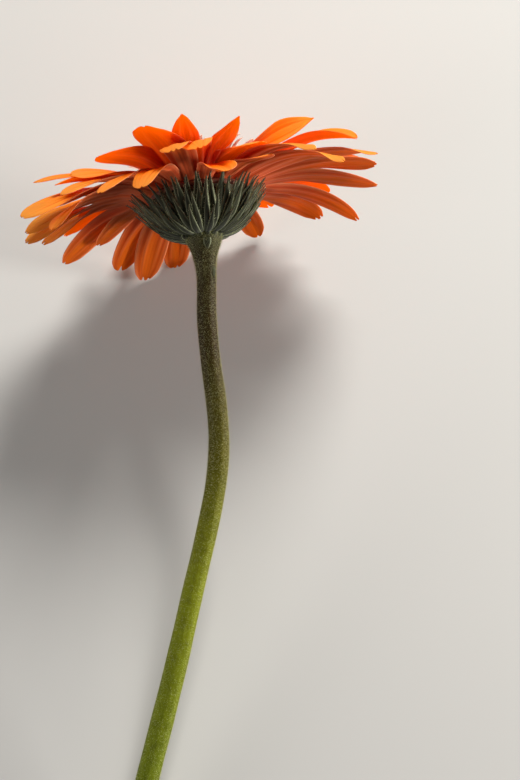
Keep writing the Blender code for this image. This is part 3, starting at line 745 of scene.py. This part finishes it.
stemLook = {
    "sides": 36, "rings": 170, "topRadius": 2.9, "lowRadius": 3.6, "swell": 1.3, "sag": 1.5,
    "flare": 2.8, "flareLength": 6.0, "flareEase": 2.0, "ribs": 9, "ribDepth": 0.06, "lumpDepth": 0.07,
}
# the ramp runs from the cut end to the neck, over "length" metres, and is at "middle" where y is 0
stemFinish = {
    "skin": {
        "Roughness": 0.62, "Specular IOR Level": 0.1, "Sheen Weight": 0.03,
        "Sheen Roughness": 0.3, "Sheen Tint": (0.95, 0.9, 0.6, 1),
    },
    # the stops from 0.70 to 0.96 darken the stem towards the neck: partly the stem's own brown, partly
    # painted shade from the bloom above it
    "ramp": (
        (0.0, (0.066, 0.082, 0.001)), (0.3, (0.092, 0.116, 0.001)), (0.52, (0.132, 0.150, 0.002)),
        (0.70, (0.066, 0.057, 0.002)), (0.84, (0.026, 0.014, 0.002)), (0.96, (0.024, 0.015, 0.004)),
        (1.0, (0.07, 0.07, 0.03)),
    ),
    "length": 0.23, "middle": 0.565, "fuzz": (0.36, 0.38, 0.09),
}
# distance back from the neck, and sideways
stemSway = (
    (0, 0.0), (7, 0.3), (13, 0.7), (25, 0.8), (38, 2.0), (50, 3.7), (62, 4.5), (74, 3.6), (89, 0.7),
    (107, -3.6), (126, -8.0), (144, -12.5), (161, -16.9), (180, -21.5), (205, -27.0), (228, -31.5),
)


def stemRoute():
    low = stemLook["lowRadius"]
    neck = headPoints(0.0, 0.0, head["neckHeight"] - 0.3)
    length = stemSway[-1][0]
    marks = []
    for back, sway in stemSway:
        drop = (1 - back / length) ** stemLook["sag"]
        marks.append((neck[0] + sway, neck[1] - back, low + (neck[2] - low) * drop))
    marks = np.array(marks)
    marks = np.vstack((marks[0] * 2 - marks[1], marks, marks[-1] * 2 - marks[-2]))
    places = []
    for step in np.linspace(0, len(stemSway) - 1, stemLook["rings"]):
        k = min(int(step), len(stemSway) - 2)
        t = step - k
        p0, p1, p2, p3 = marks[k:k + 4]
        curve = p1 * 2 + (p2 - p0) * t + (p0 * 2 - p1 * 5 + p2 * 4 - p3) * t * t
        places.append((curve + (p1 * 3 - p0 - p2 * 3 + p3) * t ** 3) / 2)
    return np.array(places)


def stemShape():  # middle, side, up and radius of each ring, and its distance from the neck
    look = stemLook
    middle = stemRoute()
    steps = np.linalg.norm(np.diff(middle, axis=0), axis=1)
    back = np.concatenate(((0,), np.cumsum(steps)))
    slope = unit(np.gradient(middle, axis=0))
    bend = np.exp(-back / look["flareLength"])[:, None]
    slope = unit(slope * (1 - bend) - axis * bend)
    side = unit(np.cross(slope, (0.0, 0.0, 1.0)))
    up = np.cross(side, slope)
    grown = np.minimum(1, back / back[-1] * look["swell"])
    swelling = (look["lowRadius"] - look["topRadius"]) * grown
    flare = look["flare"] * np.exp(-((back / look["flareLength"]) ** look["flareEase"]))
    return middle, side, up, look["topRadius"] + swelling + flare, back


def between(values, ring):  # values at rings that needn't be whole numbers
    k = np.minimum(ring.astype(int), len(values) - 2)
    t = ring - k
    t = t[..., None] if values.ndim > 1 else t
    return values[k] * (1 - t) + values[k + 1] * t


def stemSkinPoints(angle, ring, shape):  # points on the skin at an angle in radians and a ring's number
    middle, side, up, radius, back = (between(values, ring) for values in shape)
    ribs = stemLook["ribDepth"] * np.cos(stemLook["ribs"] * angle + np.sin(back / 31) * 2)
    lumps = stemLook["lumpDepth"] * np.sin(angle * 2 + back / 9) * np.sin(back / 5.3 + 1)
    reach = radius + ribs + lumps
    normal = side * np.cos(angle)[..., None] + up * np.sin(angle)[..., None]
    points = middle + normal * reach[..., None]
    points[..., 2] = np.maximum(points[..., 2], 0)
    return points, normal


def buildStem():
    shape = stemShape()
    rings = np.arange(stemLook["rings"], dtype=float)
    angles = np.linspace(0, 2 * math.pi, stemLook["sides"] + 1)
    ring, angle = np.meshgrid(rings, angles, indexing="ij")
    stem = shapedGrid("flowerStem", stemSkinPoints(angle, ring, shape)[0])
    closeSeams(stem)
    return stem, shape


def stemMaterial():
    look = stemFinish
    material, start = newFinish("stemSkin", look["skin"])
    place = start.node("TexCoord", out="Object")
    run = start.node("SeparateXYZ", values={0: place}, out=1)
    share = (run * (1 / look["length"]) + look["middle"]).clamped()
    flecks = start.noise(place, 1.0, 3.0, (1500, 420, 1500))
    mottle = start.noise(place, 300.0, 3.0)
    fuzz = start.noise(place, 2600.0)
    # darker near the neck: partly own brown, partly painted shade of the bloom
    colour = share.ramp(*look["ramp"])
    colour = colour.tint((fuzz * 5 - 2.7).clamped() * (0.36 - share * 0.24), look["fuzz"])
    feedShaded(material, colour, flecks * 0.9 + mottle * 0.7 + 0.2)
    giveRelief(material, 0.4, 0.12, flecks + mottle * 0.5)
    return material


# width of the skin's ring, then the width and depth of each step down to the hollow
cutLook = {"skin": 0.35, "steps": ((1.5, 0.15), (0.5, 0.5), (0.3, 1.2))}


def cutStemEnd(stem):  # a fresh cut: pale flesh inside a thin skin, and a small hollow
    selectFaces(stem, lambda face: len(face.vertices) > 8 and face.center.y < 0)
    bpy.ops.mesh.inset(thickness=cutLook["skin"] * mm)
    stem.active_material_index = 1
    bpy.ops.object.material_slot_assign()
    for width, depth in cutLook["steps"]:
        bpy.ops.mesh.inset(thickness=width * mm, depth=-depth * mm)
    bpy.ops.object.mode_set(mode="OBJECT")


flowerStem, stemFrame = buildStem()
flowerStem.data.materials.append(stemMaterial())
flowerStem.data.materials.append(plainSkin("cutFlesh", (0.62, 0.66, 0.36), 0.45, speckle=0.2, scale=1600.0))
cutStemEnd(flowerStem)
smooth(flowerStem)
print("flowerStem faces:", len(flowerStem.data.polygons))

scaleLook = {"rows": 13, "columns": 7, "stemRadius": 3.2, "proud": 0.08, "thickness": 0.16}
# distance back from the neck, angle round the stem, length, width, how far the tip stands off
scaleMarks = ((3.6, 100, 3.0, 1.5, 0.8), (12.0, 140, 3.4, 1.1, 0.25))


def stemScale(numbers):  # tiny scale pressed to the stem, pointing away from the bloom
    back, angle, length, width, tipOff = numbers
    look = scaleLook
    t, v = np.linspace(0, 1, look["rows"]), np.linspace(-1, 1, look["columns"])
    distance = stemFrame[-1]
    ring = np.interp(back - length / 2 + length * t, distance, np.arange(len(distance)))
    half = width / 2 * np.sin(math.pi * (0.3 + 0.68 * t))
    turn = math.radians(angle) + (half / look["stemRadius"])[:, None] * v[None, :]
    points, normal = stemSkinPoints(turn, ring[:, None] + np.zeros((1, look["columns"])), stemFrame)
    proud = look["proud"] + look["proud"] * (1 - v ** 2)[None, :] + tipOff * t[:, None] ** 3
    return points + normal * proud[..., None]


scaleSheets = [shapedGrid("scale", stemScale(numbers), tone=1.0) for numbers in scaleMarks]
stemScales = joined(scaleSheets, "stemScales")
thicken(stemScales, scaleLook["thickness"])
smooth(stemScales)
stemScales.data.materials.append(bractCup.data.materials[0])

# hairs on the stem and the bracts

hairLook = {
    "stemCount": 44000, "thickness": 0.025, "shortest": 0.25, "longest": 1.25, "scatter": 0.35,
    "perBract": 50, "bractThickness": 0.026, "bractShortest": 0.35, "bractLongest": 1.1, "seed": 5,
}


def growHairs(name, places, directions, lengths, thickness):
    scales = copyScales(thickness, lengths)
    tips = places + directions * lengths[:, None]
    keep = tips[:, 2] > 0.05
    hairs = copiesOf(coneTemplate(3, 0), name, places[keep], framesAlong(directions[keep]), scales[keep])
    print(name, "hairs:", int(keep.sum()))
    return hairs


def buildStemHairs():
    look = hairLook
    draws = np.random.default_rng(look["seed"])
    count = look["stemCount"]
    ring = draws.random(count) ** 1.15 * (stemLook["rings"] - 1)
    angle = draws.uniform(0, 2 * math.pi, count)
    places, normals = stemSkinPoints(angle, ring, stemFrame)
    directions = unit(normals + draws.normal(0, look["scatter"], (count, 3)) + axis * -0.25)
    lengths = draws.uniform(look["shortest"], look["longest"], count) * draws.uniform(0.6, 1, count)
    thickness = look["thickness"] * draws.uniform(0.6, 1.1, count)
    return growHairs("stemHairs", places - normals * 0.1, directions, lengths, thickness)


def buildBractHairs():  # along both edges of every bract
    look = hairLook
    draws = np.random.default_rng(look["seed"] + 1)
    places, directions = [], []
    for points in bractEdges:
        for edge, inner in ((0, 1), (-1, -2)):
            at = draws.uniform(0.5, len(points) - 1.01, look["perBract"] // 2)
            k = at.astype(int)
            t = (at - k)[:, None]
            spot = points[k, edge] * (1 - t) + points[k + 1, edge] * t
            outward = unit(points[k, edge] - points[k, inner], 1e-6)
            run = unit(points[k + 1, edge] - points[k, edge], 1e-6)
            places.append(spot)
            directions.append(outward * 0.8 + run * 0.9 + draws.normal(0, look["scatter"], spot.shape))
    places, directions = np.concatenate(places), unit(np.concatenate(directions))
    lengths = draws.uniform(look["bractShortest"], look["bractLongest"], len(places))
    thickness = np.full(len(places), look["bractThickness"])
    return growHairs("bractHairs", places, directions, lengths, thickness)


hairFinish = newFinish("hairWhite", {"Base Color": (0.54, 0.55, 0.24, 1), "Roughness": 0.5})[0]
letLightThrough(hairFinish, 0.5, (0.85, 0.83, 0.62))
stemHairs = buildStemHairs()
bractHairs = buildBractHairs()
for hairs in (stemHairs, bractHairs):
    hairs.data.materials.append(hairFinish)

# crown of small pale florets

crownLook = {
    "count": 30, "root": (9.4, 0.6), "reach": 20.6, "rise": 14.2, "lift": 64, "width": 2.3, "rows": 16,
    "columns": 7, "curl": 0.3, "thickness": 0.28, "seed": 25, "seatSides": 72,
    "seat": ((8.2, -0.6), (10.6, -0.6), (10.6, 1.5), (8.2, 2.1), (8.2, -0.6)),
}
crownFinish = {
    "ramp": ((0.0, (0.50, 0.10, 0.04)), (0.6, (0.86, 0.38, 0.24)), (0.92, (0.97, 0.84, 0.75))),
    "through": (1.0, 0.84, 0.74),
}


def crownFloret(azimuth, reach, rise, rng):
    look = crownLook
    s = np.linspace(0, 1, look["rows"])
    v = -np.linspace(-1, 1, look["columns"])
    place, slope = middleLine(look["root"], (reach, rise), look["lift"], rng.uniform(-5, 35), s)
    turn = azimuth + rng.uniform(-5, 5) * s
    bank = math.radians(rng.uniform(-28, 28)) * s[:, None]
    middle, side, up, forward = strapFrame(turn, place, slope, bank)
    half = (look["width"] / 2 * rng.uniform(0.75, 1.1) * (0.42 + 0.75 * s - 0.4 * s ** 8))[:, None]
    curl = look["curl"] * v ** 2 * (1.2 - s[:, None])
    notch = rng.uniform(0.4, 1.3) * np.exp(-((v - rng.uniform(-0.4, 0.4)) / 0.3) ** 2) + 0.3 * np.abs(v)
    cut = notch[None, :] * softStep(0.8, 1.0, s)[:, None]
    points = middle[:, None, :] + outBy(side, half * v) + outBy(up, curl) - outBy(forward, cut)
    return shapedGrid("floret", points, s, rng.random())


def buildCrown():  # a tall floret and a shorter one beside it, all round
    look = crownLook
    rng = random.Random(look["seed"])
    florets = []
    for index in range(look["count"]):
        azimuth = 360 * index / look["count"]
        turn = azimuth + rng.uniform(-3, 3)
        reach = look["reach"] + rng.uniform(-2.5, 1.5)
        rise = look["rise"] + rng.uniform(-1.5, 1)
        florets.append(crownFloret(turn, reach, rise, rng))
        turn = azimuth + 6 + rng.uniform(-3, 3)
        reach = look["reach"] - 4.5 + rng.uniform(-2, 1)
        rise = look["rise"] - rng.uniform(0, 2.5)
        florets.append(crownFloret(turn, reach, rise, rng))
    straps = joined(florets, "straps")
    thicken(straps, look["thickness"])
    seat = turnedBody("crownSeat", look["seat"], look["seatSides"])
    crown = joined([straps, seat], "crownStraps")
    smooth(crown)
    return crown


def crownMaterial():
    material, start = newFinish("crownPetal", {"Roughness": 0.5, "Sheen Weight": 0.1})
    spot = start.node("TexCoord", out="UV")
    along = start.node("SeparateXYZ", values={0: spot}, out=1)
    veins = start.noise(spot, 1.0, 2.0, (14, 2, 1))
    feedShaded(material, along.ramp(*crownFinish["ramp"]), veins * 0.4 + 0.8)
    giveRelief(material, 0.3, 0.08, veins)
    letLightThrough(material, 0.5, crownFinish["through"])
    return material


crownStraps = buildCrown()
crownStraps.data.materials.append(crownMaterial())
print("crownStraps faces:", len(crownStraps.data.polygons))

# disc: dome, buds in the middle and open florets round them

discLook = {
    "radius": 7.6, "edge": 0.6, "rise": 4.2, "low": -0.6, "sides": 72, "count": 210, "budShare": 0.6,
    "budRadius": 0.5, "budLength": 2.5, "openRadius": 0.52, "openLength": 3.4, "stylusRadius": 0.16,
    "goldenAngle": 137.508, "splay": 0.4, "sunk": 0.8, "seed": 41,
}


def domeHeight(radius):
    share = radius / (discLook["radius"] + discLook["edge"])
    return discLook["edge"] + discLook["rise"] * np.sqrt(1 - share ** 2)


def budTemplate():  # narrows upwards to a small point
    selectNothing()
    bpy.ops.mesh.primitive_uv_sphere_add(segments=8, ring_count=7, radius=1, location=(0, 0, 0))
    bud = bpy.context.object
    for vertex in bud.data.vertices:
        lift = (vertex.co.z + 1) / 2
        pinch = 1 - 0.35 * lift ** 2
        vertex.co.x *= pinch
        vertex.co.y *= pinch
        vertex.co.z = lift if lift < 0.99 else 1.1
    return bud


def trumpetTemplate():  # a tube that opens into five small lobes
    selectNothing()
    bpy.ops.mesh.primitive_cylinder_add(vertices=10, radius=0.55, depth=0.75, location=(0, 0, 0.375))
    tube = bpy.context.object
    bpy.ops.object.transform_apply(location=True)
    selectFaces(tube, lambda face: face.normal.z > 0.9)
    bpy.ops.mesh.extrude_region_move(TRANSFORM_OT_translate={"value": (0, 0, 0.2)})
    bpy.ops.transform.resize(value=(1.7, 1.7, 1.0))
    bpy.ops.mesh.inset(thickness=0.18)
    bpy.ops.mesh.inset(thickness=0.2, depth=-0.35)
    bpy.ops.object.mode_set(mode="OBJECT")
    for vertex in tube.data.vertices:
        reach = math.hypot(vertex.co.x, vertex.co.y)
        if reach > 0.8:
            turn = math.atan2(vertex.co.y, vertex.co.x)
            lobe = math.cos(5 * turn)
            vertex.co.x *= 1 + 0.28 * lobe
            vertex.co.y *= 1 + 0.28 * lobe
            vertex.co.z -= 0.06 * lobe
    return tube


def buildDisc():
    look = discLook
    count = look["count"]
    draws = np.random.default_rng(look["seed"])
    index = np.arange(count)
    radius = (look["radius"] - 0.4) * np.sqrt((index + 0.5) / count)
    azimuth = index * look["goldenAngle"]
    feet = headPoints(azimuth, radius, domeHeight(radius) - look["sunk"])
    splay = (look["splay"] * radius / look["radius"])[:, None]
    frames = framesAlong(axis + spoke(azimuth) * splay + draws.normal(0, 0.04, (count, 3)))
    shut = index < count * look["budShare"]
    size = draws.uniform(0.88, 1.1, count)
    young = 0.72 + 0.28 * index / (count * look["budShare"])
    budScale = copyScales(size * look["budRadius"] * young, size * look["budLength"] * young)
    buds = copiesOf(budTemplate(), "buds", feet[shut], frames[shut], budScale[shut])
    openScale = copyScales(size * look["openRadius"], size * look["openLength"])
    trumpets = copiesOf(trumpetTemplate(), "discTrumpets", feet[~shut], frames[~shut], openScale[~shut])
    tops = feet + frames[:, 2] * (size * look["openLength"] * 0.72)[:, None]
    stylusScale = copyScales(np.full(count, look["stylusRadius"]), draws.uniform(1.5, 2.3, count))
    styles = copiesOf(coneTemplate(6, 0.55), "discStyles", tops[~shut], frames[~shut], stylusScale[~shut])
    rings = np.linspace(1, 0.004, 14) * look["radius"]
    profile = [(look["radius"], look["low"])] + [(r, float(domeHeight(r))) for r in rings]
    dome = turnedBody("dome", profile, look["sides"])
    heart = joined([buds, dome], "discBuds")
    for piece in (heart, trumpets, styles):
        smooth(piece)
    return heart, trumpets, styles


discBuds, discTrumpets, discStyles = buildDisc()
budSkin = plainSkin("budGreen", (0.34, 0.33, 0.07), 0.5, speckle=0.3, scale=1100.0)
trumpetSkin = plainSkin("trumpetPink", (0.80, 0.44, 0.26), 0.5, 0.3, (1.0, 0.6, 0.35))
pollenSkin = plainSkin("pollenYellow", (0.78, 0.42, 0.06), 0.65, speckle=0.3, scale=2500.0)
for piece, skin in ((discBuds, budSkin), (discTrumpets, trumpetSkin), (discStyles, pollenSkin)):
    piece.data.materials.append(skin)
print("disc faces:", sum(len(piece.data.polygons) for piece in (discBuds, discTrumpets, discStyles)))

# what each piece stands for

standIns = {
    outerRays: ("ray_petals", "petals"), innerRays: ("ray_petals", "petals"),
    petalSeat: ("ray_petals", "petals"), bractCup: ("involucre", "bracts"), flowerStem: ("stem", "stem"),
    crownStraps: ("crown_florets", "crown"), discBuds: ("disc_florets", "disc"),
}
extras = {
    stemHairs: "stem", bractHairs: "bracts", stemScales: "stem", discTrumpets: "disc", discStyles: "disc",
}
for piece, (node, slot) in standIns.items():
    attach(piece, "root")
    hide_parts(node)
for piece, slot in extras.items():
    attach(piece, "root")
print("pieces placed")

# table, light and camera

studio = {
    "tableColour": (0.56, 0.555, 0.54), "worldColour": (0.90, 0.92, 0.95), "worldStrength": 0.065,
    # place (m), what it points at (m), size (m), power (W), colour
    "key": ((0.30, 0.95, 0.75), (0.0, 0.08, 0.04), 0.4, 19.0, (1.0, 0.97, 0.92)),
    "side": ((0.85, 0.02, 0.13), (0.0, 0.07, 0.05), 0.2, 12.0, (1.0, 0.97, 0.92)),
    "fill": ((-0.70, -0.20, 0.12), (0.0, 0.08, 0.05), 0.4, 3.6, (1.0, 0.98, 0.95)),
}


def areaLight(name, place, target, size, power, colour):
    lamp = bpy.data.lights.new(name, "AREA")
    lamp.size = size
    lamp.energy = power
    lamp.color = colour
    light = bpy.data.objects.new(name, lamp)
    light.location = place
    light.rotation_euler = (Vector(target) - Vector(place)).to_track_quat("-Z", "Y").to_euler()
    bpy.context.scene.collection.objects.link(light)


selectNothing()
bpy.ops.mesh.primitive_plane_add(size=8, location=(0, 0, -0.0002))
table = bpy.context.object
table.name = "table"
tableSkin = {"Base Color": (*studio["tableColour"], 1), "Roughness": 0.7}
table.data.materials.append(newFinish("tablePale", tableSkin)[0])

areaLight("keyLight", *studio["key"])
areaLight("sideLight", *studio["side"])
areaLight("fillLight", *studio["fill"])
world = bpy.data.worlds.new("studio")
bpy.context.scene.world = world
world.use_nodes = True
background = world.node_tree.nodes["Background"]
background.inputs["Color"].default_value = (*studio["worldColour"], 1)
background.inputs["Strength"].default_value = studio["worldStrength"]
bpy.context.scene.view_settings.view_transform = "Standard"

# "pixel" is mm to a pixel of the photo, and "neckPixel" is where the point at "neckHeight" has to show
shot = {
    "tilt": 13.0, "distance": 900.0, "pixel": 110 / 357, "width": 520, "height": 780,
    "neckPixel": (205, 240), "neckHeight": -14.0, "sensor": 24.0,
}


def setCamera():
    tilt = math.radians(shot["tilt"])
    right = Vector((1, 0, 0))
    upward = Vector((0, math.cos(tilt), math.sin(tilt)))
    look = Vector((0, math.sin(tilt), -math.cos(tilt)))
    neck = Vector(headPoints(0.0, 0.0, shot["neckHeight"]))
    aim = neck + right * (shot["width"] / 2 - shot["neckPixel"][0]) * shot["pixel"]
    aim = aim + upward * (shot["neckPixel"][1] - shot["height"] / 2) * shot["pixel"]
    camera = bpy.data.cameras.new("camera")
    camera.sensor_fit = "VERTICAL"
    camera.sensor_height = shot["sensor"]
    camera.lens = shot["sensor"] * shot["distance"] / (shot["height"] * shot["pixel"])
    camera.clip_start = 0.01
    view = bpy.data.objects.new("camera", camera)
    view.location = (aim - look * shot["distance"]) * mm
    view.rotation_euler = look.to_track_quat("-Z", "Y").to_euler()
    bpy.context.scene.collection.objects.link(view)
    bpy.context.scene.camera = view


setCamera()
print("camera set")
